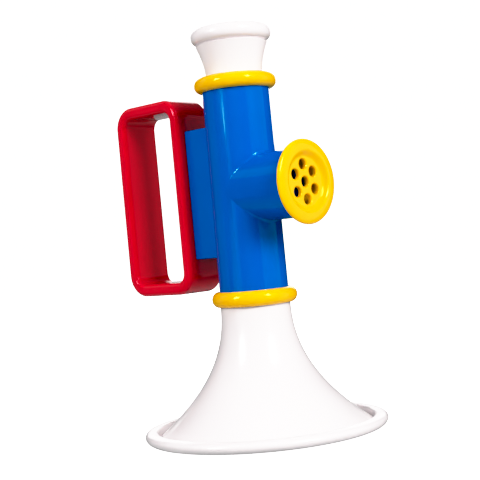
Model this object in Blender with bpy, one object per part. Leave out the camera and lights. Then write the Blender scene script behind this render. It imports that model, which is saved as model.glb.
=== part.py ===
# Toy trumpet: a hollow tee body carries a mouthpiece, a flared bell, a perforated sound cap
# and a loop handle, and two free reeds sit in a carrier under the mouthpiece.
# Metres, +Z up the tube. The trumpet stands on its bell, the sound cap faces +X.

import math

import bmesh
import bpy
from mathutils import Matrix, Vector

# Fit between pieces that touch
FIT_CLEARANCE = 0.0003

# Bell
BELL_HEIGHT = 0.0603
BELL_RIM_RADIUS = 0.0550
BELL_NECK_RADIUS = 0.0159
BELL_NECK_LENGTH = 0.0025
BELL_WALL = 0.0022
BELL_FLARE_POWER = 2.25
BELL_LIP_HEIGHT = 0.0051
BELL_LIP_CROWN = 0.0022
BELL_LIP_THICKNESS = 0.0059
BELL_LIP_ROUND = 0.0035
BELL_CHANNEL_WIDTH = 0.0010
BELL_SPIGOT_LENGTH = 0.0135
BELL_SPIGOT_WALL = 0.0019

# Tee body: tube, side branch and handle block in one moulding
TUBE_LENGTH = 0.0959
TUBE_BOTTOM_RADIUS = 0.0156
TUBE_TOP_RADIUS = 0.0152
TUBE_WALL = 0.0021
REED_LEDGE_WIDTH = 0.0005
BRANCH_RISE = 0.0476
BRANCH_RADIUS = 0.0152
BRANCH_WALL = 0.0029
BRANCH_REACH = 0.0338
BLOCK_LENGTH = 0.0600
BLOCK_WIDTH = 0.0137
BLOCK_EDGE_RADIUS = 0.0007

# Collar rings
LOWER_COLLAR_HEIGHT = 0.0071
LOWER_COLLAR_PROUD = 0.00346
LOWER_COLLAR_WEB = 0.0015
UPPER_COLLAR_HEIGHT = 0.0068
UPPER_COLLAR_PROUD = 0.00358
UPPER_COLLAR_LIP = 0.0016

# Mouthpiece
MOUTH_FLANGE = 0.0012
MOUTH_NECK_RADIUS = 0.01305
MOUTH_NECK_LENGTH = 0.0013
MOUTH_LENGTH = 0.02505
MOUTH_RIM_RADIUS = 0.0184
MOUTH_RIM_WIDTH = 0.0070
MOUTH_RIM_HEIGHT = 0.0070
MOUTH_CREASE_INSET = 0.0021
MOUTH_FLARE_POWER = 1.6
MOUTH_WALL = 0.0020
MOUTH_SPIGOT_LENGTH = 0.0110

# Sound cap
CAP_FLARE = 0.0034
CAP_FLARE_DEPTH = 0.0016
CAP_EDGE_ROUND = 0.0010
CAP_CROWN = 0.0017
CAP_RIM_WIDTH = 0.0046
CAP_DISH_WIDTH = 0.0034
CAP_DISH_DEPTH = 0.0021
CAP_FLOOR = 0.0018
CAP_SPIGOT_LENGTH = 0.0075
CAP_SPIGOT_WALL = 0.0018
CAP_HOLE_RADIUS = 0.0026
CAP_HOLE_PITCH = 0.0077
CAP_HOLE_COLUMN = 0.0058
CAP_HOLE_TURN_DEGREES = 5.0

# Loop handle
HANDLE_OFFSET = 0.0292
HANDLE_RISE = 0.0479
HANDLE_LENGTH = 0.0919
HANDLE_WIDTH = 0.0437
HANDLE_DEPTH = 0.0218
HANDLE_BAR = 0.0058
HANDLE_INNER_RADIUS = 0.0046
HANDLE_EDGE_RADIUS = 0.0022

# Handle screws
SCREW_SPACING = 0.0400
SCREW_LENGTH = 0.0120
SCREW_RADIUS = 0.0014
SCREW_TIP = 0.0012
SCREW_HEAD_RADIUS = 0.0028
SCREW_HEAD_HEIGHT = 0.0017

# Reed unit
REED_CARRIER_THICKNESS = 0.0040
REED_CARRIER_WALL = 0.0006
REED_GASKET_THICKNESS = 0.0020
REED_GASKET_GRIP = 0.0008
REED_PLATE_WIDTH = 0.0100
REED_PLATE_THICKNESS = 0.0010
REED_SPACING = 0.0048
REED_WIDTH = 0.0026
REED_THICKNESS = 0.0004
REED_TAIL_EDGE = 0.0011
RIVET_RADIUS = 0.0005
RIVET_HEAD_RADIUS = 0.0010
RIVET_HEAD_HEIGHT = 0.0005

# Facets
ROUND_STEPS = 40
BELL_STEPS = 48
HOLE_STEPS = 16
FINE_STEPS = 12
FLARE_STEPS = 9
CORNER_STEPS = 6
EDGE_STEPS = 3
FILLET_STEPS = 2
LIP_STEPS = 5
DISH_STEPS = 6
BULGE_STEPS = 8
BEAD_STEPS = 11
MOUTH_STEPS = 5
SHARP_DEGREES = 35
WELD_DISTANCE = 0.000001

# Levels up the trumpet's axis
COLLAR_WEB_BOTTOM = BELL_HEIGHT + FIT_CLEARANCE
TUBE_BOTTOM = COLLAR_WEB_BOTTOM + LOWER_COLLAR_WEB + FIT_CLEARANCE
TUBE_TOP = TUBE_BOTTOM + TUBE_LENGTH
FLANGE_BOTTOM = TUBE_TOP + FIT_CLEARANCE
FLANGE_TOP = FLANGE_BOTTOM + MOUTH_FLANGE
COLLAR_LIP_BOTTOM = FLANGE_TOP + FIT_CLEARANCE
UPPER_COLLAR_TOP = COLLAR_LIP_BOTTOM + UPPER_COLLAR_LIP
UPPER_COLLAR_MIDDLE = UPPER_COLLAR_TOP - UPPER_COLLAR_HEIGHT / 2
LOWER_COLLAR_MIDDLE = COLLAR_WEB_BOTTOM + LOWER_COLLAR_WEB / 2
MOUTH_SPIGOT_END = TUBE_TOP - MOUTH_SPIGOT_LENGTH
GASKET_BOTTOM = MOUTH_SPIGOT_END - FIT_CLEARANCE - REED_GASKET_THICKNESS
CARRIER_TOP = GASKET_BOTTOM - FIT_CLEARANCE
CARRIER_BOTTOM = CARRIER_TOP - REED_CARRIER_THICKNESS
REED_LEDGE = CARRIER_BOTTOM - FIT_CLEARANCE
BRANCH_HEIGHT = TUBE_BOTTOM + BRANCH_RISE
HANDLE_HEIGHT = TUBE_BOTTOM + HANDLE_RISE

# Radii that follow from the tube and its branch
UPPER_BORE = min(TUBE_TOP_RADIUS, TUBE_BOTTOM_RADIUS) - TUBE_WALL
LOWER_BORE = UPPER_BORE - REED_LEDGE_WIDTH
BRANCH_BORE = BRANCH_RADIUS - BRANCH_WALL
BELL_SPIGOT_RADIUS = LOWER_BORE - FIT_CLEARANCE
MOUTH_SPIGOT_RADIUS = UPPER_BORE - FIT_CLEARANCE
CARRIER_RADIUS = UPPER_BORE - FIT_CLEARANCE
CAP_RADIUS = BRANCH_RADIUS + CAP_FLARE

# Handle reach to the left and bell rim to the right set the middle of the footprint
HANDLE_REACH = HANDLE_OFFSET + HANDLE_WIDTH
AXIS_X = (HANDLE_REACH - BELL_RIM_RADIUS) / 2

# Reed plate in its carrier, measured from the tube's axis
PLATE_CORNER = CARRIER_RADIUS - REED_CARRIER_WALL
PLATE_POCKET_HALF_WIDTH = REED_PLATE_WIDTH / 2 + FIT_CLEARANCE
PLATE_POCKET_HALF_LENGTH = math.sqrt(PLATE_CORNER**2 - PLATE_POCKET_HALF_WIDTH**2)
PLATE_HALF_LENGTH = PLATE_POCKET_HALF_LENGTH - FIT_CLEARANCE
PLATE_MIDDLE = CARRIER_TOP - REED_PLATE_THICKNESS / 2
GASKET_BORE = PLATE_HALF_LENGTH - REED_GASKET_GRIP
REED_OUTER_EDGE = (REED_SPACING + REED_WIDTH) / 2
REED_HALF_LENGTH = math.sqrt(GASKET_BORE**2 - REED_OUTER_EDGE**2) - FIT_CLEARANCE
RIVET_X = REED_TAIL_EDGE - REED_HALF_LENGTH
REED_HINGE_X = RIVET_X + RIVET_HEAD_RADIUS + FIT_CLEARANCE
REED_LIFT = (REED_PLATE_THICKNESS + REED_THICKNESS) / 2 + FIT_CLEARANCE


def clear_scene():
    for thing in list(bpy.data.objects):
        bpy.data.objects.remove(thing, do_unlink=True)


def finish(name, colour, roughness, metallic=0.0):
    made = bpy.data.materials.new(name)
    made.use_nodes = True
    shader = made.node_tree.nodes["Principled BSDF"]
    shader.inputs["Base Color"].default_value = (*colour, 1.0)
    shader.inputs["Roughness"].default_value = roughness
    shader.inputs["Metallic"].default_value = metallic
    made.diffuse_color = (*colour, 1.0)
    return made


def add_empty(name, location, parent=None):
    empty = bpy.data.objects.new(name, None)
    empty.empty_display_size = 0.01
    empty.location = location
    empty.parent = parent
    bpy.context.scene.collection.objects.link(empty)
    return empty


def add_mesh(name, bm, parent, location=(0, 0, 0), rotation=(0, 0, 0)):
    bmesh.ops.recalc_face_normals(bm, faces=bm.faces)
    mesh = bpy.data.meshes.new(name)
    bm.to_mesh(mesh)
    bm.free()
    mesh.shade_smooth()
    mesh.set_sharp_from_angle(angle=math.radians(SHARP_DEGREES))
    thing = bpy.data.objects.new(name, mesh)
    thing.parent = parent
    thing.location = location
    thing.rotation_euler = rotation
    bpy.context.scene.collection.objects.link(thing)
    return thing


def as_guide(thing):
    thing.hide_render = True
    thing.display_type = "WIRE"
    return thing


def combine(thing, other, operation):
    modifier = thing.modifiers.new(other.name, "BOOLEAN")
    modifier.operation = operation
    modifier.object = as_guide(other)


def ellipse_arc(centre, semi_axes, start, end, steps):
    angles = [math.radians(start + (end - start) * i / steps) for i in range(steps + 1)]
    return [(centre[0] + semi_axes[0] * math.cos(a), centre[1] + semi_axes[1] * math.sin(a))
            for a in angles]


def turned(profile, steps):
    # A closed outline of (radius, height) points, spun about the local Z axis.
    bm = bmesh.new()
    corners = [bm.verts.new((radius, 0, height)) for radius, height in profile]
    edges = [bm.edges.new((corners[i - 1], corners[i])) for i in range(len(corners))]
    bmesh.ops.spin(bm, geom=corners + edges, axis=(0, 0, 1), angle=2 * math.pi, steps=steps,
                   use_merge=True)
    bmesh.ops.remove_doubles(bm, verts=bm.verts, dist=WELD_DISTANCE)
    flat_centres = [vert for vert in bm.verts
                    if vert.co.xy.length < WELD_DISTANCE
                    and all(abs(edge.other_vert(vert).co.z - vert.co.z) < WELD_DISTANCE
                            for edge in vert.link_edges)]
    bmesh.ops.dissolve_verts(bm, verts=flat_centres)
    loose = [edge for edge in bm.edges if not edge.link_faces]
    bmesh.ops.delete(bm, geom=loose, context="EDGES")
    return bm


def rod(radius, bottom, top, steps):
    return turned([(0, bottom), (radius, bottom), (radius, top), (0, top)], steps)


def box(half_x, half_y, bottom, top):
    bm = bmesh.new()
    size = Matrix.Diagonal((2 * half_x, 2 * half_y, top - bottom, 1))
    middle = Matrix.Translation((0, 0, (bottom + top) / 2))
    bmesh.ops.create_cube(bm, size=1, matrix=middle @ size)
    return bm


def bell_flare():
    # Outer and inner wall points from the neck down to the channel behind the lip.
    top = BELL_HEIGHT - BELL_NECK_LENGTH
    drop = top - BELL_WALL
    spread = BELL_RIM_RADIUS - BELL_LIP_THICKNESS - BELL_CHANNEL_WIDTH - BELL_NECK_RADIUS
    outer = []
    inner = []
    for i in range(FLARE_STEPS + 1):
        share = i / FLARE_STEPS
        point = Vector((BELL_NECK_RADIUS + spread * share**BELL_FLARE_POWER, top - drop * share))
        slope = Vector((spread * BELL_FLARE_POWER * share**(BELL_FLARE_POWER - 1), -drop))
        inward = Vector((slope.y, -slope.x)).normalized()
        outer.append(tuple(point))
        inner.append(tuple(point + BELL_WALL * inward))
    return outer, inner


def make_bell(axis):
    outer, inner = bell_flare()
    spigot_top = BELL_HEIGHT + BELL_SPIGOT_LENGTH
    spigot_bore = BELL_SPIGOT_RADIUS - BELL_SPIGOT_WALL
    lip_inside = BELL_RIM_RADIUS - BELL_LIP_THICKNESS
    lip = (BELL_LIP_THICKNESS / 2, BELL_LIP_CROWN)
    lip_centre = (BELL_RIM_RADIUS - lip[0], BELL_LIP_HEIGHT - lip[1])
    channel = (BELL_CHANNEL_WIDTH, lip_centre[1] - BELL_WALL)
    channel_centre = (lip_inside - BELL_CHANNEL_WIDTH, lip_centre[1])
    round_centre = (BELL_RIM_RADIUS - BELL_LIP_ROUND, lip_centre[1])
    profile = [(spigot_bore, spigot_top), (BELL_SPIGOT_RADIUS, spigot_top)]
    profile += [(BELL_SPIGOT_RADIUS, BELL_HEIGHT), (BELL_NECK_RADIUS, BELL_HEIGHT)]
    profile += outer
    profile += ellipse_arc(channel_centre, channel, -90, 0, FILLET_STEPS)[1:]
    profile += ellipse_arc(lip_centre, lip, 180, 0, LIP_STEPS)[1:]
    profile += ellipse_arc(round_centre, (BELL_LIP_ROUND, lip_centre[1]), 0, -90, EDGE_STEPS)[1:]
    profile.append((inner[-1][0], 0))
    profile += reversed(inner)
    profile.append((spigot_bore, BELL_HEIGHT - FIT_CLEARANCE))
    return add_mesh("bell", turned(profile, BELL_STEPS), axis)


def make_lower_collar(axis):
    tube_seat = TUBE_BOTTOM_RADIUS + FIT_CLEARANCE
    bell_seat = BELL_NECK_RADIUS + FIT_CLEARANCE
    web_bore = BELL_SPIGOT_RADIUS + FIT_CLEARANCE
    web_top = COLLAR_WEB_BOTTOM + LOWER_COLLAR_WEB
    inside = max(tube_seat, bell_seat)
    section = (BELL_NECK_RADIUS + LOWER_COLLAR_PROUD - inside, LOWER_COLLAR_HEIGHT / 2)
    profile = ellipse_arc((inside, LOWER_COLLAR_MIDDLE), section, 90, -90, BULGE_STEPS)
    profile += [(bell_seat, profile[-1][1]), (bell_seat, COLLAR_WEB_BOTTOM)]
    profile += [(web_bore, COLLAR_WEB_BOTTOM), (web_bore, web_top)]
    profile += [(tube_seat, web_top), (tube_seat, profile[0][1])]
    return add_mesh("lower_collar", turned(profile, ROUND_STEPS), axis)


def make_upper_collar(axis):
    seat = TUBE_TOP_RADIUS + FIT_CLEARANCE
    lip_bore = MOUTH_NECK_RADIUS + FIT_CLEARANCE
    section = (UPPER_COLLAR_PROUD - FIT_CLEARANCE, UPPER_COLLAR_HEIGHT / 2)
    profile = ellipse_arc((seat, UPPER_COLLAR_MIDDLE), section, 90, -90, BULGE_STEPS)
    profile += [(seat, COLLAR_LIP_BOTTOM), (lip_bore, COLLAR_LIP_BOTTOM)]
    profile.append((lip_bore, UPPER_COLLAR_TOP))
    return add_mesh("upper_collar", turned(profile, ROUND_STEPS), axis)


def make_mouthpiece(axis):
    rim = (MOUTH_RIM_WIDTH / 2, MOUTH_RIM_HEIGHT / 2)
    rim_centre = (MOUTH_RIM_RADIUS - rim[0], FLANGE_BOTTOM + MOUTH_LENGTH - rim[1])
    crease_angle = math.degrees(math.acos(1 - MOUTH_CREASE_INSET / rim[0]))
    bead = ellipse_arc(rim_centre, rim, -crease_angle, 180, BEAD_STEPS)
    crease_radius, crease_height = bead[0]
    neck_top = UPPER_COLLAR_TOP + MOUTH_NECK_LENGTH
    flange_radius = TUBE_TOP_RADIUS - FIT_CLEARANCE
    spigot_bore = MOUTH_SPIGOT_RADIUS - MOUTH_WALL
    profile = [(spigot_bore, MOUTH_SPIGOT_END), (MOUTH_SPIGOT_RADIUS, MOUTH_SPIGOT_END)]
    profile += [(MOUTH_SPIGOT_RADIUS, FLANGE_BOTTOM), (flange_radius, FLANGE_BOTTOM)]
    profile += [(flange_radius, FLANGE_TOP), (MOUTH_NECK_RADIUS, FLANGE_TOP)]
    for i in range(MOUTH_STEPS):
        share = i / MOUTH_STEPS
        radius = MOUTH_NECK_RADIUS + (crease_radius - MOUTH_NECK_RADIUS) * share**MOUTH_FLARE_POWER
        profile.append((radius, neck_top + (crease_height - neck_top) * share))
    profile += bead
    profile += [(bead[-1][0], neck_top), (spigot_bore, FLANGE_BOTTOM)]
    return add_mesh("mouthpiece", turned(profile, ROUND_STEPS), axis)


def make_body(axis):
    past = BRANCH_RADIUS
    outline = [(0, TUBE_BOTTOM), (TUBE_BOTTOM_RADIUS, TUBE_BOTTOM)]
    outline += [(TUBE_TOP_RADIUS, TUBE_TOP), (0, TUBE_TOP)]
    body = add_mesh("body", turned(outline, ROUND_STEPS), axis)
    sideways = {"location": (0, 0, BRANCH_HEIGHT), "rotation": (0, math.pi / 2, 0)}
    branch = add_mesh("branch_form", rod(BRANCH_RADIUS, 0, BRANCH_REACH, ROUND_STEPS), axis, **sideways)
    combine(body, branch, "UNION")

    block_end = HANDLE_OFFSET - FIT_CLEARANCE
    bar = box(block_end / 2, BLOCK_WIDTH / 2, -BLOCK_LENGTH / 2, BLOCK_LENGTH / 2)
    long_edges = [edge for edge in bar.edges
                  if abs(edge.verts[0].co.x - edge.verts[1].co.x) > FIT_CLEARANCE]
    bmesh.ops.bevel(bar, geom=long_edges, offset=BLOCK_EDGE_RADIUS, segments=FILLET_STEPS, profile=0.5,
                    affect="EDGES")
    block = add_mesh("block_form", bar, axis, (-block_end / 2, 0, HANDLE_HEIGHT))
    for end, place in screw_places().items():
        pilot = rod(SCREW_RADIUS + FIT_CLEARANCE, -SCREW_LENGTH - FIT_CLEARANCE, 0, FINE_STEPS)
        combine(block, add_mesh("screw_pilot_" + end, pilot, axis, **place), "DIFFERENCE")
    combine(body, block, "UNION")

    bore = [(0, TUBE_BOTTOM - past), (LOWER_BORE, TUBE_BOTTOM - past), (LOWER_BORE, REED_LEDGE)]
    bore += [(UPPER_BORE, REED_LEDGE), (UPPER_BORE, TUBE_TOP + past), (0, TUBE_TOP + past)]
    combine(body, add_mesh("tube_bore", turned(bore, ROUND_STEPS), axis), "DIFFERENCE")
    branch_bore = rod(BRANCH_BORE, 0, BRANCH_REACH + past, ROUND_STEPS)
    combine(body, add_mesh("branch_bore", branch_bore, axis, **sideways), "DIFFERENCE")
    return body


def screw_places():
    # Under the head of each screw, with the screw's own Z axis pointing back into the loop.
    seat = -(HANDLE_OFFSET + HANDLE_BAR) + SCREW_HEAD_HEIGHT + FIT_CLEARANCE
    rises = {"upper": SCREW_SPACING / 2, "lower": -SCREW_SPACING / 2}
    return {end: {"location": (seat, 0, HANDLE_HEIGHT + rise), "rotation": (0, -math.pi / 2, 0)}
            for end, rise in rises.items()}


def handle_section():
    # Rounded outline of the bar: distance in from its outer face, and place across its depth.
    radius = min(HANDLE_EDGE_RADIUS, HANDLE_BAR / 2 - FIT_CLEARANCE)
    half = HANDLE_DEPTH / 2
    corners = [(HANDLE_BAR - radius, half - radius, 0), (radius, half - radius, 90)]
    corners += [(radius, radius - half, 180), (HANDLE_BAR - radius, radius - half, 270)]
    section = []
    for inset, across, start in corners:
        section += ellipse_arc((inset, across), (radius, radius), start, start + 90, EDGE_STEPS)
    return section


def make_handle(axis):
    outer_radius = HANDLE_INNER_RADIUS + HANDLE_BAR
    reach = HANDLE_WIDTH / 2 - outer_radius
    rise = HANDLE_LENGTH / 2 - outer_radius
    section = handle_section()
    bm = bmesh.new()
    rings = []
    for quarter, (side_x, side_z) in enumerate([(1, 1), (-1, 1), (-1, -1), (1, -1)]):
        for i in range(CORNER_STEPS + 1):
            angle = math.radians(90 * (quarter + i / CORNER_STEPS))
            outward = Vector((math.cos(angle), 0, math.sin(angle)))
            centre = Vector((side_x * reach, 0, side_z * rise))
            ring = [bm.verts.new(centre + (outer_radius - inset) * outward + Vector((0, across, 0)))
                    for inset, across in section]
            rings.append(ring)
    for k, ring in enumerate(rings):
        previous = rings[k - 1]
        for j in range(len(ring)):
            bm.faces.new((previous[j - 1], previous[j], ring[j], ring[j - 1]))
    middle = -(HANDLE_OFFSET + HANDLE_WIDTH / 2)
    handle = add_mesh("handle", bm, axis, (middle, 0, HANDLE_HEIGHT))

    hole = SCREW_RADIUS + FIT_CLEARANCE
    sink = SCREW_HEAD_RADIUS + FIT_CLEARANCE
    sink_end = SCREW_HEAD_HEIGHT + HANDLE_INNER_RADIUS
    for end, place in screw_places().items():
        cutter = [(0, -HANDLE_BAR), (hole, -HANDLE_BAR), (hole, -FIT_CLEARANCE)]
        cutter += [(sink, -FIT_CLEARANCE), (sink, sink_end), (0, sink_end)]
        cut = add_mesh("screw_sink_" + end, turned(cutter, HOLE_STEPS), axis, **place)
        combine(handle, cut, "DIFFERENCE")
    return handle


def make_handle_screws(axis):
    shank = [(0, -SCREW_LENGTH), (SCREW_RADIUS, SCREW_TIP - SCREW_LENGTH), (SCREW_RADIUS, 0)]
    head = ellipse_arc((0, 0), (SCREW_HEAD_RADIUS, SCREW_HEAD_HEIGHT), 0, 90, EDGE_STEPS)
    return [add_mesh("handle_screw_" + end, turned(shank + head, FINE_STEPS), axis, **place)
            for end, place in screw_places().items()]


def make_sound_cap(axis):
    # Local Z runs out along the branch; height zero is the end of the branch.
    seat = FIT_CLEARANCE
    edge = seat + CAP_FLARE_DEPTH + CAP_EDGE_ROUND
    crest = edge + CAP_CROWN
    floor_front = crest - CAP_DISH_DEPTH
    floor_back = floor_front - CAP_FLOOR
    crest_radius = CAP_RADIUS - CAP_RIM_WIDTH
    spigot = BRANCH_BORE - FIT_CLEARANCE
    spigot_end = seat - CAP_SPIGOT_LENGTH
    edge_round = (CAP_EDGE_ROUND, CAP_EDGE_ROUND)
    profile = [(0, floor_back), (spigot - CAP_SPIGOT_WALL, floor_back)]
    profile += [(spigot - CAP_SPIGOT_WALL, spigot_end), (spigot, spigot_end)]
    profile += [(spigot, seat), (BRANCH_RADIUS, seat)]
    profile += ellipse_arc((CAP_RADIUS - CAP_EDGE_ROUND, edge), edge_round, -90, 0, EDGE_STEPS)
    profile += ellipse_arc((crest_radius, edge), (CAP_RIM_WIDTH, CAP_CROWN), 0, 90, LIP_STEPS)[1:]
    for i in range(1, DISH_STEPS + 1):
        share = i / DISH_STEPS
        sink = CAP_DISH_DEPTH * (1 - math.cos(math.pi * share)) / 2
        profile.append((crest_radius - CAP_DISH_WIDTH * share, crest - sink))
    profile.append((0, floor_front))
    place = {"location": (BRANCH_REACH, 0, BRANCH_HEIGHT), "rotation": (0, math.pi / 2, 0)}
    cap = add_mesh("sound_cap", turned(profile, ROUND_STEPS), axis, **place)

    for k, (x, y) in enumerate(cap_hole_places()):
        hole = rod(CAP_HOLE_RADIUS, floor_back - CAP_FLOOR, floor_front + CAP_FLOOR, HOLE_STEPS)
        bmesh.ops.translate(hole, verts=hole.verts, vec=(x, y, 0))
        combine(cap, add_mesh("sound_hole_" + str(k + 1), hole, axis, **place), "DIFFERENCE")
    return cap


def cap_hole_places():
    # A column of three holes through the middle and a column of two on each side of it.
    columns = [(0, (-1, 0, 1)), (-1, (-0.5, 0.5)), (1, (-0.5, 0.5))]
    turn = Matrix.Rotation(math.radians(CAP_HOLE_TURN_DEGREES), 2)
    return [turn @ Vector((row * CAP_HOLE_PITCH, side * CAP_HOLE_COLUMN))
            for side, rows in columns for row in rows]


def make_reed_gasket(axis):
    top = GASKET_BOTTOM + REED_GASKET_THICKNESS
    profile = [(GASKET_BORE, GASKET_BOTTOM), (CARRIER_RADIUS, GASKET_BOTTOM)]
    profile += [(CARRIER_RADIUS, top), (GASKET_BORE, top)]
    return add_mesh("reed_gasket", turned(profile, ROUND_STEPS), axis)


def make_reed_carrier(axis):
    carrier = add_mesh("reed_carrier", rod(CARRIER_RADIUS, CARRIER_BOTTOM, CARRIER_TOP, ROUND_STEPS), axis)
    pocket_floor = CARRIER_TOP - REED_PLATE_THICKNESS - FIT_CLEARANCE
    pocket = box(PLATE_POCKET_HALF_LENGTH, PLATE_POCKET_HALF_WIDTH, pocket_floor, MOUTH_SPIGOT_END)
    combine(carrier, add_mesh("plate_pocket", pocket, axis), "DIFFERENCE")
    half_width = REED_OUTER_EDGE + 2 * FIT_CLEARANCE
    window = box(REED_HALF_LENGTH + 2 * FIT_CLEARANCE, half_width, REED_LEDGE - REED_CARRIER_THICKNESS,
                 CARRIER_TOP)
    combine(carrier, add_mesh("reed_window", window, axis), "DIFFERENCE")
    return carrier


def make_reed_plate(axis):
    half = REED_PLATE_THICKNESS / 2
    plate = add_mesh("reed_plate", box(PLATE_HALF_LENGTH, REED_PLATE_WIDTH / 2, -half, half), axis,
                     (0, 0, PLATE_MIDDLE))
    slot_start = REED_HINGE_X + FIT_CLEARANCE
    slot_end = REED_HALF_LENGTH + FIT_CLEARANCE
    for side, name in ((1, "blow"), (-1, "draw")):
        slot = box((slot_end - slot_start) / 2, REED_WIDTH / 2 + FIT_CLEARANCE,
                   -REED_PLATE_THICKNESS, REED_PLATE_THICKNESS)
        place = ((slot_start + slot_end) / 2, side * REED_SPACING / 2, PLATE_MIDDLE)
        combine(plate, add_mesh("reed_slot_" + name, slot, axis, place), "DIFFERENCE")
        hole = rod(RIVET_RADIUS + FIT_CLEARANCE, -REED_PLATE_THICKNESS, REED_PLATE_THICKNESS, FINE_STEPS)
        place = (RIVET_X, side * REED_SPACING / 2, PLATE_MIDDLE)
        combine(plate, add_mesh("rivet_hole_" + name, hole, axis, place), "DIFFERENCE")
    return plate


def make_reed(axis, name, side):
    # The blow reed lies on the plate's upper face and the draw reed hangs under its lower face.
    flip = (0 if side > 0 else math.pi, 0, 0)
    across = side * REED_SPACING / 2
    hinge = add_empty("reed_hinge_" + name, (REED_HINGE_X, across, PLATE_MIDDLE + side * REED_LIFT), axis)
    hinge.rotation_euler = flip
    half = REED_THICKNESS / 2
    strip = box(REED_HALF_LENGTH, REED_WIDTH / 2, -half, half)
    bmesh.ops.translate(strip, verts=strip.verts, vec=(-REED_HINGE_X, 0, 0))
    tongue = add_mesh("reed_tongue_" + name, strip, hinge)
    hole = rod(RIVET_RADIUS + FIT_CLEARANCE, -REED_THICKNESS, REED_THICKNESS, FINE_STEPS)
    place = (RIVET_X - REED_HINGE_X, 0, 0)
    combine(tongue, add_mesh("tongue_hole_" + name, hole, hinge, place), "DIFFERENCE")

    upper = REED_LIFT + half + FIT_CLEARANCE
    lower = -REED_PLATE_THICKNESS / 2 - FIT_CLEARANCE
    head = (RIVET_HEAD_RADIUS, RIVET_HEAD_HEIGHT)
    profile = ellipse_arc((0, lower), head, -90, 0, EDGE_STEPS)
    profile += [(RIVET_RADIUS, lower), (RIVET_RADIUS, upper)]
    profile += ellipse_arc((0, upper), head, 0, 90, EDGE_STEPS)
    place = {"location": (RIVET_X, across, PLATE_MIDDLE), "rotation": flip}
    rivet = add_mesh("reed_rivet_" + name, turned(profile, FINE_STEPS), axis, **place)
    return tongue, rivet


def build():
    clear_scene()
    axis = add_empty("trumpet_axis", (AXIS_X, 0, 0))
    coloured = [
        (make_mouthpiece(axis), "mouthpiece_white", (0.86, 0.83, 0.84), 0.22, 0.0),
        (make_bell(axis), "bell_white", (0.88, 0.85, 0.86), 0.22, 0.0),
        (make_body(axis), "body_blue", (0.002, 0.115, 0.60), 0.20, 0.0),
        (make_upper_collar(axis), "upper_collar_yellow", (0.95, 0.60, 0.003), 0.20, 0.0),
        (make_lower_collar(axis), "lower_collar_yellow", (0.95, 0.60, 0.003), 0.20, 0.0),
        (make_sound_cap(axis), "sound_cap_yellow", (0.97, 0.62, 0.003), 0.20, 0.0),
        (make_handle(axis), "handle_red", (0.62, 0.003, 0.014), 0.20, 0.0),
        (make_reed_gasket(axis), "gasket_rubber", (0.03, 0.03, 0.03), 0.70, 0.0),
        (make_reed_carrier(axis), "carrier_white", (0.80, 0.80, 0.78), 0.35, 0.0),
        (make_reed_plate(axis), "plate_brass", (0.72, 0.50, 0.18), 0.30, 1.0),
    ]
    for screw in make_handle_screws(axis):
        coloured.append((screw, screw.name + "_steel", (0.60, 0.60, 0.62), 0.30, 1.0))
    for name, side in (("blow", 1), ("draw", -1)):
        tongue, rivet = make_reed(axis, name, side)
        coloured.append((tongue, tongue.name + "_brass", (0.78, 0.57, 0.24), 0.25, 1.0))
        coloured.append((rivet, rivet.name + "_brass", (0.70, 0.48, 0.20), 0.30, 1.0))
    for thing, name, colour, roughness, metallic in coloured:
        thing.data.materials.append(finish(name, colour, roughness, metallic))


build()
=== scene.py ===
import math

import bmesh
import bpy
from mathutils import Matrix, Vector


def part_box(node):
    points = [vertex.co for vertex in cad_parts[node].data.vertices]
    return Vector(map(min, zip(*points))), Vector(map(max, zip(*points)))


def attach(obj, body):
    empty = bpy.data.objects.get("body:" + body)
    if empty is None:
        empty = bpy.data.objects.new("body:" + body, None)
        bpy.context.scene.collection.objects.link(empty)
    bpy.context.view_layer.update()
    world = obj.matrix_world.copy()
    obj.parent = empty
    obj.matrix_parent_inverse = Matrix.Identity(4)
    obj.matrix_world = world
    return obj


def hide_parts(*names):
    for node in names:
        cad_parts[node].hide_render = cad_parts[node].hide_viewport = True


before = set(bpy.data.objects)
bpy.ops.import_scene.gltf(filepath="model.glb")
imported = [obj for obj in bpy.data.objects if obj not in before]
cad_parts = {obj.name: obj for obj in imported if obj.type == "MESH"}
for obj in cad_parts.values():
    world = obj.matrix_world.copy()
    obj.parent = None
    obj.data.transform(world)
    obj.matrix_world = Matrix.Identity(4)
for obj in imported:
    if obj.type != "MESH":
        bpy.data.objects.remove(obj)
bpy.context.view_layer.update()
bellLow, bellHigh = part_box("bell")
axisX = (bellLow.x + bellHigh.x) / 2  # the tube's own axis
onAxis = Matrix.Translation((axisX, 0, 0))
fit = 0.0003  # clearance between mouldings, metres
print("frame loaded,", len(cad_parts), "nodes")


# finishes


def newFinish(name):
    made = bpy.data.materials.new(name)
    made.use_nodes = True
    nodes = made.node_tree.nodes
    return made, nodes, made.node_tree.links, nodes["Principled BSDF"]


def noiseOn(nodes, links, scale, detail, stretch=(1, 1, 1)):
    where = nodes.new("ShaderNodeTexCoord")
    place = nodes.new("ShaderNodeMapping")
    place.inputs["Scale"].default_value = stretch
    grain = nodes.new("ShaderNodeTexNoise")
    grain.inputs["Scale"].default_value = scale
    grain.inputs["Detail"].default_value = detail
    links.new(where.outputs["Object"], place.inputs["Vector"])
    links.new(place.outputs["Vector"], grain.inputs["Vector"])
    return grain.outputs["Fac"]


noiseSpan = (0.3, 0.7)  # nearly all of a noise's values lie between these


def spread(nodes, links, source, low, high):
    span = nodes.new("ShaderNodeMapRange")
    span.inputs["From Min"].default_value = noiseSpan[0]
    span.inputs["From Max"].default_value = noiseSpan[1]
    span.inputs["To Min"].default_value = low
    span.inputs["To Max"].default_value = high
    links.new(source, span.inputs["Value"])
    return span.outputs["Result"]


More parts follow.
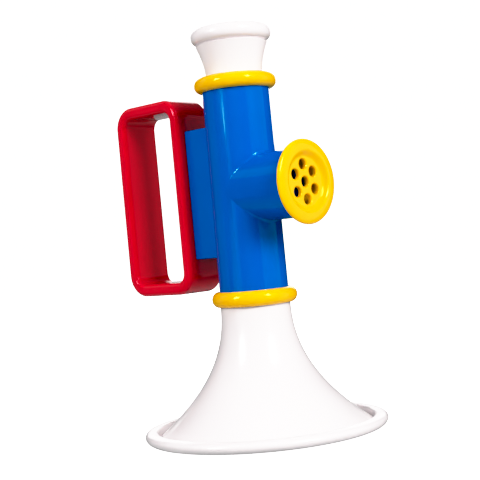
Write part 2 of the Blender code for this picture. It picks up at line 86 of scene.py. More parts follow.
def twoTones(nodes, links, source, dark, light):
    ramp = nodes.new("ShaderNodeValToRGB")
    ramp.color_ramp.elements[0].position = noiseSpan[0]
    ramp.color_ramp.elements[0].color = (*dark, 1)
    ramp.color_ramp.elements[1].position = noiseSpan[1]
    ramp.color_ramp.elements[1].color = (*light, 1)
    links.new(source, ramp.inputs["Fac"])
    return ramp.outputs["Color"]


def ripple(nodes, links, source, shader, strength, distance):
    bump = nodes.new("ShaderNodeBump")
    bump.inputs["Strength"].default_value = strength
    bump.inputs["Distance"].default_value = distance
    links.new(source, bump.inputs["Height"])
    links.new(bump.outputs["Normal"], shader.inputs["Normal"])


mouldedGloss = {
    "flow": 38, "flowDetail": 3, "haze": 260, "hazeDetail": 4, "skin": 700, "skinDetail": 2,
    "skinStrength": 0.12, "skinDepth": 0.00004, "roughLow": 0.08, "roughHigh": 0.13, "index": 1.5,
}
metalGrain = {"scale": 900, "detail": 5, "strength": 0.2, "depth": 0.00003}
rubberGrain = {
    "scale": 1200, "detail": 4, "strength": 0.3, "depth": 0.00005, "roughLow": 0.55, "roughHigh": 0.8,
}


def glossyPlastic(name, dark, light, shine, soft=1.0):
    # shine is the colour that this moulding gives to what it mirrors, soft blurs its highlights
    made, nodes, links, shader = newFinish(name)
    flow = noiseOn(nodes, links, mouldedGloss["flow"], mouldedGloss["flowDetail"])
    links.new(twoTones(nodes, links, flow, dark, light), shader.inputs["Base Color"])
    haze = noiseOn(nodes, links, mouldedGloss["haze"], mouldedGloss["hazeDetail"])
    rough = spread(nodes, links, haze, mouldedGloss["roughLow"] * soft, mouldedGloss["roughHigh"] * soft)
    links.new(rough, shader.inputs["Roughness"])
    skin = noiseOn(nodes, links, mouldedGloss["skin"], mouldedGloss["skinDetail"])
    ripple(nodes, links, skin, shader, mouldedGloss["skinStrength"], mouldedGloss["skinDepth"])
    shader.inputs["IOR"].default_value = mouldedGloss["index"]
    shader.inputs["Specular Tint"].default_value = (*shine, 1)
    return made


def rolledMetal(name, dark, light, roughLow, roughHigh, stretch):
    made, nodes, links, shader = newFinish(name)
    grain = noiseOn(nodes, links, metalGrain["scale"], metalGrain["detail"], stretch)
    links.new(twoTones(nodes, links, grain, dark, light), shader.inputs["Base Color"])
    links.new(spread(nodes, links, grain, roughLow, roughHigh), shader.inputs["Roughness"])
    ripple(nodes, links, grain, shader, metalGrain["strength"], metalGrain["depth"])
    shader.inputs["Metallic"].default_value = 1.0
    return made


def softRubber(name, dark, light):
    made, nodes, links, shader = newFinish(name)
    grain = noiseOn(nodes, links, rubberGrain["scale"], rubberGrain["detail"])
    links.new(twoTones(nodes, links, grain, dark, light), shader.inputs["Base Color"])
    rough = spread(nodes, links, grain, rubberGrain["roughLow"], rubberGrain["roughHigh"])
    links.new(rough, shader.inputs["Roughness"])
    ripple(nodes, links, grain, shader, rubberGrain["strength"], rubberGrain["depth"])
    return made


whiteGloss = glossyPlastic("white moulded gloss", (0.87, 0.81, 0.82), (0.90, 0.84, 0.85), (1, 1, 1), 1.9)
yellowGloss = glossyPlastic("yellow moulded gloss", (0.98, 0.478, 0.001), (1.0, 0.518, 0.002), (1, 0.8, 0.1))
blueGloss = glossyPlastic("blue moulded gloss", (0.0005, 0.089, 0.46), (0.001, 0.100, 0.50), (0.2, 0.8, 1))
redGloss = glossyPlastic("red moulded gloss", (0.61, 0.0006, 0.015), (0.66, 0.0008, 0.019), (1, 0.2, 0.3))
carrierSatin = glossyPlastic("carrier satin plastic", (0.74, 0.74, 0.71), (0.80, 0.80, 0.77), (1, 1, 1))
gasketRubber = softRubber("gasket black rubber", (0.018, 0.018, 0.018), (0.035, 0.035, 0.035))
stripBrass = rolledMetal("rolled brass strip", (0.66, 0.45, 0.16), (0.80, 0.59, 0.27), 0.22, 0.36,
                         (0.15, 1, 1))
rivetBrass = rolledMetal("turned brass rivet", (0.64, 0.43, 0.15), (0.76, 0.55, 0.24), 0.2, 0.32, (1, 1, 1))
screwSteel = rolledMetal("plated screw steel", (0.52, 0.52, 0.54), (0.66, 0.66, 0.68), 0.2, 0.34, (1, 1, 1))
print("finishes mixed")


# shared making


def newTree(name, sockets):
    tree = bpy.data.node_groups.new(name, "GeometryNodeTree")
    for label, kind in sockets:
        tree.interface.new_socket(name=label, in_out="INPUT", socket_type="NodeSocket" + kind)
    tree.interface.new_socket(name="Shape", in_out="OUTPUT", socket_type="NodeSocketGeometry")
    return tree, tree.nodes.new("NodeGroupInput"), tree.nodes.new("NodeGroupOutput")


def endTree(tree, made, start, end):
    smooth = tree.nodes.new("GeometryNodeSetShadeSmooth")
    real = tree.nodes.new("GeometryNodeRealizeInstances")
    paint = tree.nodes.new("GeometryNodeSetMaterial")
    tree.links.new(made, smooth.inputs["Geometry"])
    tree.links.new(smooth.outputs["Geometry"], real.inputs["Geometry"])
    tree.links.new(real.outputs["Geometry"], paint.inputs["Geometry"])
    tree.links.new(start.outputs["Finish"], paint.inputs["Material"])
    tree.links.new(paint.outputs["Geometry"], end.inputs["Shape"])


def newPiece(name, points=(), edges=(), faces=()):
    mesh = bpy.data.meshes.new(name)
    mesh.from_pydata(points, edges, faces)
    thing = bpy.data.objects.new(name, mesh)
    bpy.context.scene.collection.objects.link(thing)
    return thing


def bake(thing):
    # modifiers out, their shape kept as plain mesh
    bpy.context.view_layer.update()
    graph = bpy.context.evaluated_depsgraph_get()
    made = bpy.data.meshes.new_from_object(thing.evaluated_get(graph), depsgraph=graph)
    thing.modifiers.clear()
    thing.data = made
    return thing


def runTree(thing, tree, values):
    modifier = thing.modifiers.new(tree.name, "NODES")
    modifier.node_group = tree
    sockets = {item.name: item.identifier for item in tree.interface.items_tree if item.in_out == "INPUT"}
    for label, value in values.items():
        modifier[sockets[label]] = value
    return bake(thing)


weldReach = 2e-7  # corners nearer than this become one, metres


def cleanUp(thing, sharp=40):
    # doubles merged, faces outwards, hard edges kept crisp
    bm = bmesh.new()
    bm.from_mesh(thing.data)
    bmesh.ops.remove_doubles(bm, verts=bm.verts, dist=weldReach)
    bmesh.ops.dissolve_degenerate(bm, edges=bm.edges, dist=weldReach)
    bmesh.ops.recalc_face_normals(bm, faces=bm.faces)
    bm.to_mesh(thing.data)
    bm.free()
    thing.data.shade_smooth()
    thing.data.set_sharp_from_angle(angle=math.radians(sharp))
    return thing


def cut(thing, other, how):
    modifier = thing.modifiers.new(how, "BOOLEAN")
    modifier.operation = how
    modifier.solver = "EXACT"
    modifier.object = other
    bake(thing)
    bpy.data.objects.remove(other)
    return thing


def putAt(thing, where):
    thing.data.transform(where)
    return thing


def handOver(thing, body, slot, *nodes):
    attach(thing, body)
    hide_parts(*nodes)
    return thing


def arc(centre, semi, start, end, steps):
    angles = [math.radians(start + (end - start) * i / steps) for i in range(steps + 1)]
    return [(centre[0] + semi[0] * math.cos(a), centre[1] + semi[1] * math.sin(a)) for a in angles]


def rod(radius, low, high):
    # the lathe's outline of a plain cylinder
    return [(0, low), (radius, low), (radius, high), (0, high)]


easing = {"reachShare": 0.45, "margin": 0.00006, "marginShare": 0.05}  # shares of the shorter side


def eased(corners, steps=5):
    # a corner given with a third number is rounded by about that radius
    made = []
    count = len(corners)
    for i, corner in enumerate(corners):
        here = Vector(corner[:2])
        if len(corner) < 3:
            made.append(tuple(here))
            continue
        before = Vector(corners[i - 1][:2]) - here
        after = Vector(corners[(i + 1) % count][:2]) - here
        shorter = min(before.length, after.length)
        reach = min(corner[2], easing["reachShare"] * shorter)
        first = here + before.normalized() * reach
        last = here + after.normalized() * reach
        margin = min(easing["margin"], easing["marginShare"] * shorter)
        made.append(tuple(first + before.normalized() * margin))
        for k in range(steps + 1):
            t = k / steps
            made.append(tuple(first * (1 - t) ** 2 + here * 2 * t * (1 - t) + last * t * t))
        made.append(tuple(last + after.normalized() * margin))
    return made


railRadius = 0.02
latheWeld = 0.000001


def latheTree():
    tree, start, end = newTree("turnOnLathe", [
        ("Outline", "Geometry"), ("Rail Radius", "Float"), ("Steps", "Int"), ("Finish", "Material")])
    outline = tree.nodes.new("GeometryNodeMeshToCurve")
    rail = tree.nodes.new("GeometryNodeCurvePrimitiveCircle")
    sweep = tree.nodes.new("GeometryNodeCurveToMesh")
    weld = tree.nodes.new("GeometryNodeMergeByDistance")
    weld.inputs["Distance"].default_value = latheWeld
    join = tree.links.new
    join(start.outputs["Outline"], outline.inputs["Mesh"])
    join(start.outputs["Rail Radius"], rail.inputs["Radius"])
    join(start.outputs["Steps"], rail.inputs["Resolution"])
    join(rail.outputs["Curve"], sweep.inputs["Curve"])
    join(outline.outputs["Curve"], sweep.inputs["Profile Curve"])
    join(sweep.outputs["Mesh"], weld.inputs["Geometry"])
    endTree(tree, weld.outputs["Geometry"], start, end)
    return tree


lathe = latheTree()


def turn(name, outline, finish, steps=160, where=None):
    # outline is a closed run of (radius, height); the lathe's rail takes heights downwards
    points = [(radius - railRadius, -height, 0) for radius, height in outline]
    edges = [(i, (i + 1) % len(points)) for i in range(len(points))]
    thing = newPiece(name, points, edges)
    runTree(thing, lathe, {"Rail Radius": railRadius, "Steps": steps, "Finish": finish})
    cleanUp(thing)
    if where is not None:
        putAt(thing, where)
    return thing


def slab(name, low, high, finish, rounding=0.0, steps=3):
    thing = newPiece(name)
    bm = bmesh.new()
    size = Vector(high) - Vector(low)
    middle = (Vector(high) + Vector(low)) / 2
    bmesh.ops.create_cube(bm, size=1, matrix=Matrix.Translation(middle) @ Matrix.Diagonal((*size, 1)))
    if rounding:
        bmesh.ops.bevel(bm, geom=bm.edges[:], offset=rounding, segments=steps, profile=0.5, affect="EDGES")
    bm.to_mesh(thing.data)
    bm.free()
    thing.data.materials.append(finish)
    return thing


# bell

bell = {
    "height": 0.0603, "rimRadius": 0.0550, "neckRadius": 0.0159, "neckLength": 0.0025, "wall": 0.0022,
    "flarePower": 2.25, "lipHeight": 0.0051, "lipCrown": 0.0022, "lipThickness": 0.0059, "lipRound": 0.0035,
    "lipInner": 0.0013, "channelWidth": 0.0010, "channelFloor": 0.0012, "channelEdge": 0.0003,
    "spigotRadius": 0.0123, "spigotLength": 0.0135, "spigotWall": 0.0019, "spigotInnerEdge": 0.0005,
    "spigotOuterEdge": 0.0006, "shoulderEdge": 0.0003, "neckEdge": 0.0004, "footEdge": 0.0006,
    "throatEdge": 0.001, "flareSteps": 64, "turnSteps": 224, "grooveSteps": 12, "lipSteps": 18,
}


def bellFlare():
    top = bell["height"] - bell["neckLength"]
    drop = top - bell["wall"]
    reach = bell["rimRadius"] - bell["lipThickness"] - bell["channelWidth"] - bell["neckRadius"]
    outer, inner = [], []
    for i in range(bell["flareSteps"] + 1):
        t = i / bell["flareSteps"]
        point = Vector((bell["neckRadius"] + reach * t ** bell["flarePower"], top - drop * t))
        slope = Vector((reach * bell["flarePower"] * t ** (bell["flarePower"] - 1), -drop))
        outer.append(tuple(point))
        inner.append(tuple(point + bell["wall"] * Vector((slope.y, -slope.x)).normalized()))
    return outer, inner


def makeBell():
    outer, inner = bellFlare()
    bore = bell["spigotRadius"] - bell["spigotWall"]
    spigotTop = bell["height"] + bell["spigotLength"]
    lip = (bell["lipThickness"] / 2, bell["lipCrown"])
    lipMiddle = (bell["rimRadius"] - lip[0], bell["lipHeight"] - lip[1])
    lipStart = bell["rimRadius"] - bell["lipThickness"]
    channel = bell["channelWidth"] / 2
    innerRound = bell["lipInner"]
    under = (bell["lipRound"], lipMiddle[1])
    outline = [(bore, spigotTop, bell["spigotInnerEdge"])]
    outline.append((bell["spigotRadius"], spigotTop, bell["spigotOuterEdge"]))
    outline.append((bell["spigotRadius"], bell["height"], bell["shoulderEdge"]))
    outline.append((bell["neckRadius"], bell["height"], bell["neckEdge"]))
    outline += outer[:-1]
    outline.append((*outer[-1], bell["channelEdge"]))
    groove = (lipStart - channel, bell["channelFloor"] + channel)
    outline += arc(groove, (channel, channel), 180, 360, bell["grooveSteps"])
    inside = (lipStart + innerRound, bell["lipHeight"] - innerRound)
    outline += arc(inside, (innerRound, innerRound), 180, 90, bell["grooveSteps"])
    outline += arc(lipMiddle, lip, 90, 0, bell["lipSteps"])
    outline += arc((bell["rimRadius"] - under[0], lipMiddle[1]), under, 0, -90, bell["lipSteps"])[1:]
    outline.append((inner[-1][0], 0, bell["footEdge"]))
    outline += reversed(inner)
    outline.append((bore, bell["height"] - fit, bell["throatEdge"]))
    return turn("bell_horn", eased(outline), whiteGloss, bell["turnSteps"], onAxis)


handOver(makeBell(), "trumpet", "white_plastic", "bell")
print("bell turned")


# tee body

tee = {
    "bottom": 0.0624, "length": 0.0959, "bottomRadius": 0.0156, "topRadius": 0.0152,
    "upperBore": 0.0131, "lowerBore": 0.0126, "ledge": 0.1404, "drillPast": 0.01,
    "branchHeight": 0.1100, "branchRadius": 0.0152, "branchBore": 0.0123, "branchReach": 0.0338,
    "blockReach": 0.0289, "blockWidth": 0.0137, "blockLow": 0.0803, "blockHigh": 0.1403,
    "blockRounding": 0.0007, "edge": 0.0005, "pilotRadius": 0.0017, "pilotEnd": -0.0207,
    "pilotLength": 0.02, "pilotSteps": 32, "turnSteps": 192, "sharp": 24,
    "seamBall": 0.0013, "seamSunk": 0.0000025, "seamBury": 0.0003, "seamSteps": 160, "seamArc": 9,
}
branchEnd = Matrix.Translation((axisX + tee["branchReach"], 0, tee["branchHeight"]))
alongBranch = branchEnd @ Matrix.Rotation(math.pi / 2, 4, "Y")
towardsHandle = Matrix.Rotation(-math.pi / 2, 4, "Y")  # lays a turned piece along -X
screwHeights = (0.0903, 0.1303)


def seamFillet():
    # a ball rolled along the corner between tube and branch leaves this soft seam
    ball, tiers = tee["seamBall"], tee["seamArc"] + 2
    seat = Vector((0, 0, tee["branchHeight"]))
    points, faces = [], []
    for i in range(tee["seamSteps"]):
        angle = 2 * math.pi * i / tee["seamSteps"]
        lean = Vector((0, math.cos(angle), math.sin(angle)))
        middle = seat + lean * (tee["branchRadius"] + ball)
        share = (middle.z - tee["bottom"]) / tee["length"]
        tube = tee["bottomRadius"] + (tee["topRadius"] - tee["bottomRadius"]) * share
        middle.x = math.sqrt((tube + ball) ** 2 - middle.y ** 2)
        toTube = Vector((-middle.x, -middle.y, 0)).normalized()
        corner = toTube.angle(-lean)
        for k in range(tee["seamArc"] + 1):
            out = toTube.slerp(-lean, k / tee["seamArc"])
            points.append(middle + out * (ball + tee["seamSunk"] * (k in (0, tee["seamArc"]))))
        inward = toTube.slerp(-lean, 0.5)
        points.append(middle + inward * (ball / math.cos(corner / 2) + tee["seamBury"]))
        here, then = i * tiers, (i + 1) % tee["seamSteps"] * tiers
        for k in range(tiers):
            above = (k + 1) % tiers
            faces.append((here + k, here + above, then + above, then + k))
    thing = newPiece("seam", points, [], faces)
    thing.data.materials.append(blueGloss)
    return cleanUp(thing)


def makeBody():
    top = tee["bottom"] + tee["length"]
    outline = [(0, tee["bottom"]), (tee["bottomRadius"], tee["bottom"], tee["edge"])]
    outline += [(tee["topRadius"], top, tee["edge"]), (0, top)]
    body = turn("tee_body", eased(outline), blueGloss, tee["turnSteps"])
    stem = [(0, -tee["branchReach"]), (tee["branchRadius"], -tee["branchReach"])]
    stem += [(tee["branchRadius"], 0, tee["edge"]), (0, 0)]
    branch = turn("branch_stem", eased(stem), blueGloss, tee["turnSteps"], onAxis.inverted() @ alongBranch)
    cut(body, branch, "UNION")
    block = slab("handle_block", (-tee["blockReach"], -tee["blockWidth"] / 2, tee["blockLow"]),
                 (0, tee["blockWidth"] / 2, tee["blockHigh"]), blueGloss, tee["blockRounding"])
    pilot = rod(tee["pilotRadius"], 0, tee["pilotLength"])
    for height in screwHeights:
        drill = turn("pilot", pilot, blueGloss, tee["pilotSteps"])
        putAt(drill, Matrix.Translation((tee["pilotEnd"], 0, height)) @ towardsHandle)
        cut(block, drill, "DIFFERENCE")
    cut(body, block, "UNION")
    below, above = tee["bottom"] - tee["drillPast"], top + tee["drillPast"]
    bore = [(0, below), (tee["lowerBore"], below), (tee["lowerBore"], tee["ledge"])]
    bore += [(tee["upperBore"], tee["ledge"]), (tee["upperBore"], above), (0, above)]
    cut(body, turn("tube_drill", bore, blueGloss, tee["turnSteps"]), "DIFFERENCE")
    side = rod(tee["branchBore"], -tee["branchReach"], tee["drillPast"])
    drill = turn("branch_drill", side, blueGloss, tee["turnSteps"], onAxis.inverted() @ alongBranch)
    cut(body, drill, "DIFFERENCE")
    seam = seamFillet()
    bm = bmesh.new()
    bm.from_mesh(body.data)
    bm.from_mesh(seam.data)
    bm.to_mesh(body.data)
    bm.free()
    bpy.data.objects.remove(seam)
    putAt(body, onAxis)
    return cleanUp(body, tee["sharp"])


handOver(makeBody(), "trumpet", "blue_plastic", "body")
print("tee body joined and bored")


# collar rings

lowerCollar = {"height": 0.0071, "proud": 0.00346, "web": 0.0015, "webBottom": 0.0606, "edge": 0.0003}
upperCollar = {
    "height": 0.0068, "proud": 0.00358, "lip": 0.0016, "lipBottom": 0.1601, "lipBore": 0.01335,
    "edge": 0.0003, "topEdge": 0.0004,
}
collarSteps = {"bulge": 40, "turn": 192}


def makeLowerCollar():
    tubeSeat = tee["bottomRadius"] + fit
    bellSeat = bell["neckRadius"] + fit
    webTop = lowerCollar["webBottom"] + lowerCollar["web"]
    middle = lowerCollar["webBottom"] + lowerCollar["web"] / 2
    bulge = (bell["neckRadius"] + lowerCollar["proud"] - bellSeat, lowerCollar["height"] / 2)
    webBore, edge = bell["spigotRadius"] + fit, lowerCollar["edge"]
    outline = arc((bellSeat, middle), bulge, 90, -90, collarSteps["bulge"])
    outline += [(bellSeat, lowerCollar["webBottom"]), (webBore, lowerCollar["webBottom"], edge)]
    outline += [(webBore, webTop, edge), (tubeSeat, webTop), (tubeSeat, outline[0][1])]
    return turn("collar_ring_lower", eased(outline), yellowGloss, collarSteps["turn"], onAxis)


def makeUpperCollar():
    seat = tee["topRadius"] + fit
    top = upperCollar["lipBottom"] + upperCollar["lip"]
    bulge = (upperCollar["proud"] - fit, upperCollar["height"] / 2)
    outline = arc((seat, top - upperCollar["height"] / 2), bulge, 90, -90, collarSteps["bulge"])
    outline.append((seat, upperCollar["lipBottom"]))
    outline.append((upperCollar["lipBore"], upperCollar["lipBottom"], upperCollar["edge"]))
    outline.append((upperCollar["lipBore"], top, upperCollar["topEdge"]))
    return turn("collar_ring_upper", eased(outline), yellowGloss, collarSteps["turn"], onAxis)


handOver(makeLowerCollar(), "trumpet", "yellow_plastic", "lower_collar")
handOver(makeUpperCollar(), "trumpet", "yellow_plastic", "upper_collar")
print("collar rings turned")


# mouthpiece

mouth = {
    "flangeBottom": 0.1586, "flangeTop": 0.1598, "spigotEnd": 0.1473, "spigotRadius": 0.0128, "wall": 0.0020,
    "neckRadius": 0.01305, "neckTop": 0.1630, "length": 0.02505, "rimRadius": 0.0184, "rimWidth": 0.0070,
    "rimHeight": 0.0070, "creaseInset": 0.0021, "creaseWidth": 0.0011, "creaseDepth": 0.0014,
    "endEdge": 0.0005, "flangeEdge": 0.0003, "innerEase": 0.003, "flarePower": 1.6, "flareSteps": 28,
    "beadSteps": 60, "creaseSteps": 10, "easeSteps": 8, "turnSteps": 192,
}


def makeMouthpiece():
    rim = (mouth["rimWidth"] / 2, mouth["rimHeight"] / 2)
    rimMiddle = (mouth["rimRadius"] - rim[0], mouth["flangeBottom"] + mouth["length"] - rim[1])
    crease = math.degrees(math.acos(1 - mouth["creaseInset"] / rim[0]))
    bead = arc(rimMiddle, rim, -crease, 180, mouth["beadSteps"])
    flangeRadius = tee["topRadius"] - fit
    bore = mouth["spigotRadius"] - mouth["wall"]
    outline = [(bore, mouth["spigotEnd"], mouth["endEdge"])]
    outline.append((mouth["spigotRadius"], mouth["spigotEnd"], mouth["endEdge"]))
    outline.append((mouth["spigotRadius"], mouth["flangeBottom"]))
    outline.append((flangeRadius, mouth["flangeBottom"], mouth["flangeEdge"]))
    outline.append((flangeRadius, mouth["flangeTop"], mouth["flangeEdge"]))
    outline.append((mouth["neckRadius"], mouth["flangeTop"]))
    flareTop = (bead[0][0], bead[0][1] - mouth["creaseWidth"])
    for i in range(mouth["flareSteps"] + 1):
        t = i / mouth["flareSteps"]
        radius = mouth["neckRadius"] + (flareTop[0] - mouth["neckRadius"]) * t ** mouth["flarePower"]
        outline.append((radius, mouth["neckTop"] + (flareTop[1] - mouth["neckTop"]) * t))
    groove = (mouth["creaseDepth"], mouth["creaseWidth"] / 2)
    outline += arc((flareTop[0], flareTop[1] + groove[1]), groove, -90, -270, mouth["creaseSteps"])[1:-1]
    outline += bead
    outline.append((bead[-1][0], mouth["neckTop"], mouth["innerEase"]))
    outline.append((bore, mouth["flangeBottom"], mouth["innerEase"]))
    return turn("mouthpiece_cup", eased(outline, mouth["easeSteps"]), whiteGloss, mouth["turnSteps"], onAxis)


handOver(makeMouthpiece(), "trumpet", "white_plastic", "mouthpiece")
print("mouthpiece turned")


# sound cap with its grille of holes

cap = {
    "radius": 0.0186, "flareDepth": 0.0016, "edgeRound": 0.0010, "crown": 0.0017, "rimWidth": 0.0046,
    "dishWidth": 0.0034, "dishDepth": 0.0021, "floor": 0.0018, "spigotLength": 0.0075, "spigotWall": 0.0018,
    "innerEdge": 0.0006, "spigotEdge": 0.0004, "seatEdge": 0.0004, "holeRadius": 0.0023, "holePitch": 0.0077,
    "holeColumn": 0.0058, "holeTurn": 5.0, "holeEase": 0.0007, "drillPast": 0.002, "edgeSteps": 14,
    "crownSteps": 24, "dishSteps": 24, "holeSteps": 12, "drillSteps": 56, "turnSteps": 192, "sharp": 35,
}


def grilleTree():
    # a row of three holes through the middle and a row of two on each side of it
    tree, start, end = newTree("drillSoundHoles", [
        ("Cap", "Geometry"), ("Drill", "Object"), ("Pitch", "Vector"), ("Column", "Vector"),
        ("Turn", "Vector"), ("Finish", "Material")])
    join = tree.links.new

    def scaled(label, by):
        made = tree.nodes.new("ShaderNodeVectorMath")
        made.operation = "SCALE"
        made.inputs["Scale"].default_value = by
        join(start.outputs[label], made.inputs[0])
        return made.outputs["Vector"]

    def line(count, first, step):
        made = tree.nodes.new("GeometryNodeMeshLine")
        made.inputs["Count"].default_value = count
        join(first, made.inputs["Start Location"])
        join(step, made.inputs["Offset"])
        return made.outputs["Mesh"]

    three = line(3, scaled("Pitch", -1), start.outputs["Pitch"])
    two = line(2, scaled("Pitch", -0.5), start.outputs["Pitch"])
    flanks = tree.nodes.new("GeometryNodeInstanceOnPoints")
    flanked = tree.nodes.new("GeometryNodeRealizeInstances")
    spots = tree.nodes.new("GeometryNodeJoinGeometry")
    spun = tree.nodes.new("GeometryNodeTransform")
    drill = tree.nodes.new("GeometryNodeObjectInfo")
    holes = tree.nodes.new("GeometryNodeInstanceOnPoints")
    solid = tree.nodes.new("GeometryNodeRealizeInstances")
    bored = tree.nodes.new("GeometryNodeMeshBoolean")
    bored.operation = "DIFFERENCE"
    bored.solver = "EXACT"
    join(line(2, scaled("Column", -1), scaled("Column", 2)), flanks.inputs["Points"])
    join(two, flanks.inputs["Instance"])
    join(flanks.outputs["Instances"], flanked.inputs["Geometry"])
    join(flanked.outputs["Geometry"], spots.inputs["Geometry"])
    join(three, spots.inputs["Geometry"])
    join(spots.outputs["Geometry"], spun.inputs["Geometry"])
    join(start.outputs["Turn"], spun.inputs["Rotation"])
    join(start.outputs["Drill"], drill.inputs["Object"])
    join(spun.outputs["Geometry"], holes.inputs["Points"])
    join(drill.outputs["Geometry"], holes.inputs["Instance"])
    join(holes.outputs["Instances"], solid.inputs["Geometry"])
    join(start.outputs["Cap"], bored.inputs["Mesh 1"])
    join(solid.outputs["Geometry"], bored.inputs["Mesh 2"])
    endTree(tree, bored.outputs["Mesh"], start, end)
    return tree


def makeSoundCap():
    # heights run out along the branch from the branch's end
    seat = fit
    edge = seat + cap["flareDepth"] + cap["edgeRound"]
    crest = edge + cap["crown"]
    front = crest - cap["dishDepth"]
    back = front - cap["floor"]
    crestRadius = cap["radius"] - cap["rimWidth"]
    spigot = tee["branchBore"] - fit
    spigotEnd = seat - cap["spigotLength"]
    spigotBore, spigotEdge = spigot - cap["spigotWall"], cap["spigotEdge"]
    outline = [(0, back), (spigotBore, back, cap["innerEdge"])]
    outline += [(spigotBore, spigotEnd, spigotEdge), (spigot, spigotEnd, spigotEdge)]
    outline += [(spigot, seat), (tee["branchRadius"], seat, cap["seatEdge"])]
    edgeMiddle = (cap["radius"] - cap["edgeRound"], edge)
    outline += arc(edgeMiddle, (cap["edgeRound"], cap["edgeRound"]), -90, 0, cap["edgeSteps"])
    outline += arc((crestRadius, edge), (cap["rimWidth"], cap["crown"]), 0, 90, cap["crownSteps"])[1:]
    steps = cap["dishSteps"]
    for i in range(1, steps + 1):
        sink = cap["dishDepth"] * (1 - math.cos(math.pi * i / steps)) / 2
        outline.append((crestRadius - cap["dishWidth"] * i / steps, crest - sink))
    outline.append((0, front))
    thing = turn("sound_cap_flared", eased(outline), yellowGloss, cap["turnSteps"])
    hole, ease, past = cap["holeRadius"], cap["holeEase"], cap["drillPast"]
    bit = [(0, back - past), (hole, back - past)]
    bit += arc((hole + ease, front - ease), (ease, ease), 180, 90, cap["holeSteps"])
    bit += [(hole + ease, front + past), (0, front + past)]
    drill = turn("drill_bit", bit, yellowGloss, cap["drillSteps"])
    runTree(thing, grilleTree(), {
        "Drill": drill, "Pitch": (cap["holePitch"], 0, 0), "Column": (0, cap["holeColumn"], 0),
        "Turn": (0, 0, math.radians(cap["holeTurn"])), "Finish": yellowGloss,
    })
    bpy.data.objects.remove(drill)
    cleanUp(thing, cap["sharp"])
    return putAt(thing, alongBranch)


handOver(makeSoundCap(), "trumpet", "yellow_plastic", "sound_cap")
print("sound cap turned and drilled")


# loop handle

loop = {
    "offset": 0.0292, "width": 0.0437, "length": 0.0919, "depth": 0.0218, "bar": 0.0058,
    "innerRadius": 0.0046, "edgeRadius": 0.0022, "height": 0.1103, "cornerSteps": 28, "edgeSteps": 10,
    "sinkRadius": 0.0031, "sinkFloor": -0.0333, "sinkLift": 0.0006, "sinkPast": 0.008, "sinkSteps": 48,
    "shankRadius": 0.0017, "shankPast": 0.012,
}


def loopTree():
    # Blank is the empty mesh that the modifier sits on
    tree, start, end = newTree("bendLoop", [
        ("Blank", "Geometry"), ("Width", "Float"), ("Length", "Float"), ("Bar", "Float"), ("Depth", "Float"),
        ("Corner", "Float"), ("Edge", "Float"), ("Corner Steps", "Int"), ("Edge Steps", "Int"),
        ("Finish", "Material")])
    path = tree.nodes.new("GeometryNodeCurvePrimitiveQuadrilateral")
    bent = tree.nodes.new("GeometryNodeFilletCurve")
    bent.mode = "POLY"
    section = tree.nodes.new("GeometryNodeCurvePrimitiveQuadrilateral")
    softened = tree.nodes.new("GeometryNodeFilletCurve")
    softened.mode = "POLY"
    sweep = tree.nodes.new("GeometryNodeCurveToMesh")
    join = tree.links.new
    join(start.outputs["Width"], path.inputs["Width"])
    join(start.outputs["Length"], path.inputs["Height"])
    join(path.outputs["Curve"], bent.inputs["Curve"])
    join(start.outputs["Corner"], bent.inputs["Radius"])
    join(start.outputs["Corner Steps"], bent.inputs["Count"])
    join(start.outputs["Bar"], section.inputs["Width"])
    join(start.outputs["Depth"], section.inputs["Height"])
    join(section.outputs["Curve"], softened.inputs["Curve"])
    join(start.outputs["Edge"], softened.inputs["Radius"])
    join(start.outputs["Edge Steps"], softened.inputs["Count"])
    join(bent.outputs["Curve"], sweep.inputs["Curve"])
    join(softened.outputs["Curve"], sweep.inputs["Profile Curve"])
    endTree(tree, sweep.outputs["Mesh"], start, end)
    return tree


def makeHandle():
    thing = newPiece("loop_handle")
    runTree(thing, loopTree(), {
        "Width": loop["width"] - loop["bar"], "Length": loop["length"] - loop["bar"],
        "Bar": loop["bar"], "Depth": loop["depth"], "Corner": loop["innerRadius"] + loop["bar"] / 2,
        "Edge": loop["edgeRadius"], "Corner Steps": loop["cornerSteps"], "Edge Steps": loop["edgeSteps"],
        "Finish": redGloss,
    })
    putAt(thing, Matrix.Rotation(math.pi / 2, 4, "X"))  # the loop stands up in the plane of the tube
    cleanUp(thing)
    putAt(thing, Matrix.Translation((axisX - loop["offset"] - loop["width"] / 2, 0, loop["height"])))
    sink = [(0, -loop["shankPast"]), (loop["shankRadius"], -loop["shankPast"]), (loop["shankRadius"], 0)]
    sink += [(loop["sinkRadius"], 0), (loop["sinkRadius"], loop["sinkPast"]), (0, loop["sinkPast"])]
    for height in screwHeights:
        cutter = turn("screw_sink", sink, redGloss, loop["sinkSteps"])
        seat = Matrix.Translation((axisX + loop["sinkFloor"] + loop["sinkLift"], 0, height))
        putAt(cutter, seat @ towardsHandle)
        cut(thing, cutter, "DIFFERENCE")
    return cleanUp(thing)


handOver(makeHandle(), "trumpet", "red_plastic", "handle")
print("handle bent to its loop")


# handle screws

screw = {
    "seat": -0.0330, "length": 0.0120, "radius": 0.0014, "headRadius": 0.0028, "headHeight": 0.0017,
    "tip": 0.0012, "pitch": 0.0011, "threadDepth": 0.00025, "plain": 0.001, "slotWidth": 0.0008,
    "slotLength": 0.0032, "slotDepth": 0.0010, "slotPast": 0.004, "seed": 7, "headSteps": 12, "turnSteps": 40,
    "sharp": 30,
}


